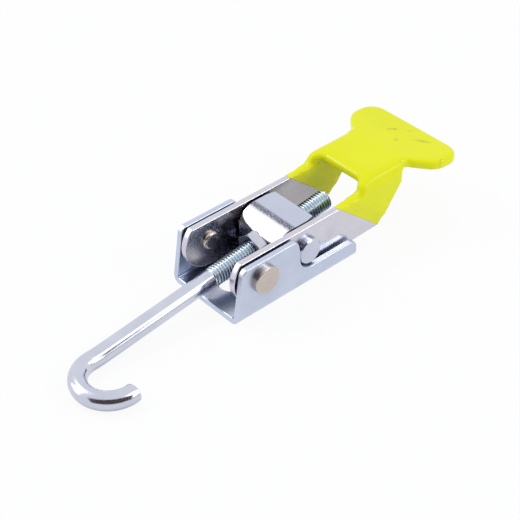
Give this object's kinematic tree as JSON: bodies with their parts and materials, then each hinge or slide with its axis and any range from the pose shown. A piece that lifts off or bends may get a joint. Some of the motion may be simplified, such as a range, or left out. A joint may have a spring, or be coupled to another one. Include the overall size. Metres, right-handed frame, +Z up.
{
  "type": "over centre toggle latch",
  "caption": "Over centre toggle latch: a folded steel base and lever, a threaded J hook bolt through a trunnion, and a T handle dipped in yellow vinyl.",
  "frame": {"origin": "centre of the base's underside", "axes": "+X along the base towards the grip, +Z up out of the base, Y across it with the hook's bend on the -Y side"},
  "size_m": [0.1806, 0.0506, 0.0307],
  "materials": {
    "plate_steel": "bright zinc plate, satin",
    "rivet_steel": "bright zinc plate, satin",
    "block_steel": "bright plated, polished nose",
    "rod_steel": "bright zinc plate, satin",
    "vinyl": "soft glossy dipped vinyl"
  },
  "bodies": {
    "base": {"base_bracket": "plate_steel", "pivot_rivet_right": "rivet_steel", "pivot_rivet_left": "rivet_steel"},
    "lever": {"lever_plate": "plate_steel", "vinyl_grip": "vinyl"},
    "trunnion": {"trunnion": "block_steel"},
    "hook": {"hook_bolt": "rod_steel"},
    "nut": {"lock_nut": "rod_steel"}
  },
  "joints": [
    {"name": "lever_hinge", "type": "hinge", "parent": "base", "child": "lever", "pos_m": [-0.0173, 0, 0.01595], "axis": [0, -1, 0], "range_deg": [0, 150]},
    {"name": "trunnion_swing", "type": "hinge", "parent": "lever", "child": "trunnion", "pos_m": [0.0069, 0, 0.0146], "axis": [0, -1, 0], "range_deg": [-150, 0]},
    {"name": "hook_adjust", "type": "slide", "parent": "trunnion", "child": "hook", "axis": [0.9922, 0, 0.1245], "range_m": [-0.01, 0.01]},
    {"name": "lock_nut_run", "type": "slide", "parent": "trunnion", "child": "nut", "axis": [-0.9922, 0, -0.1245], "range_m": [0, 0.006]}
  ],
  "couplings": [
    {"joint": "trunnion_swing", "follows": "lever_hinge", "ratio": -1}
  ]
}
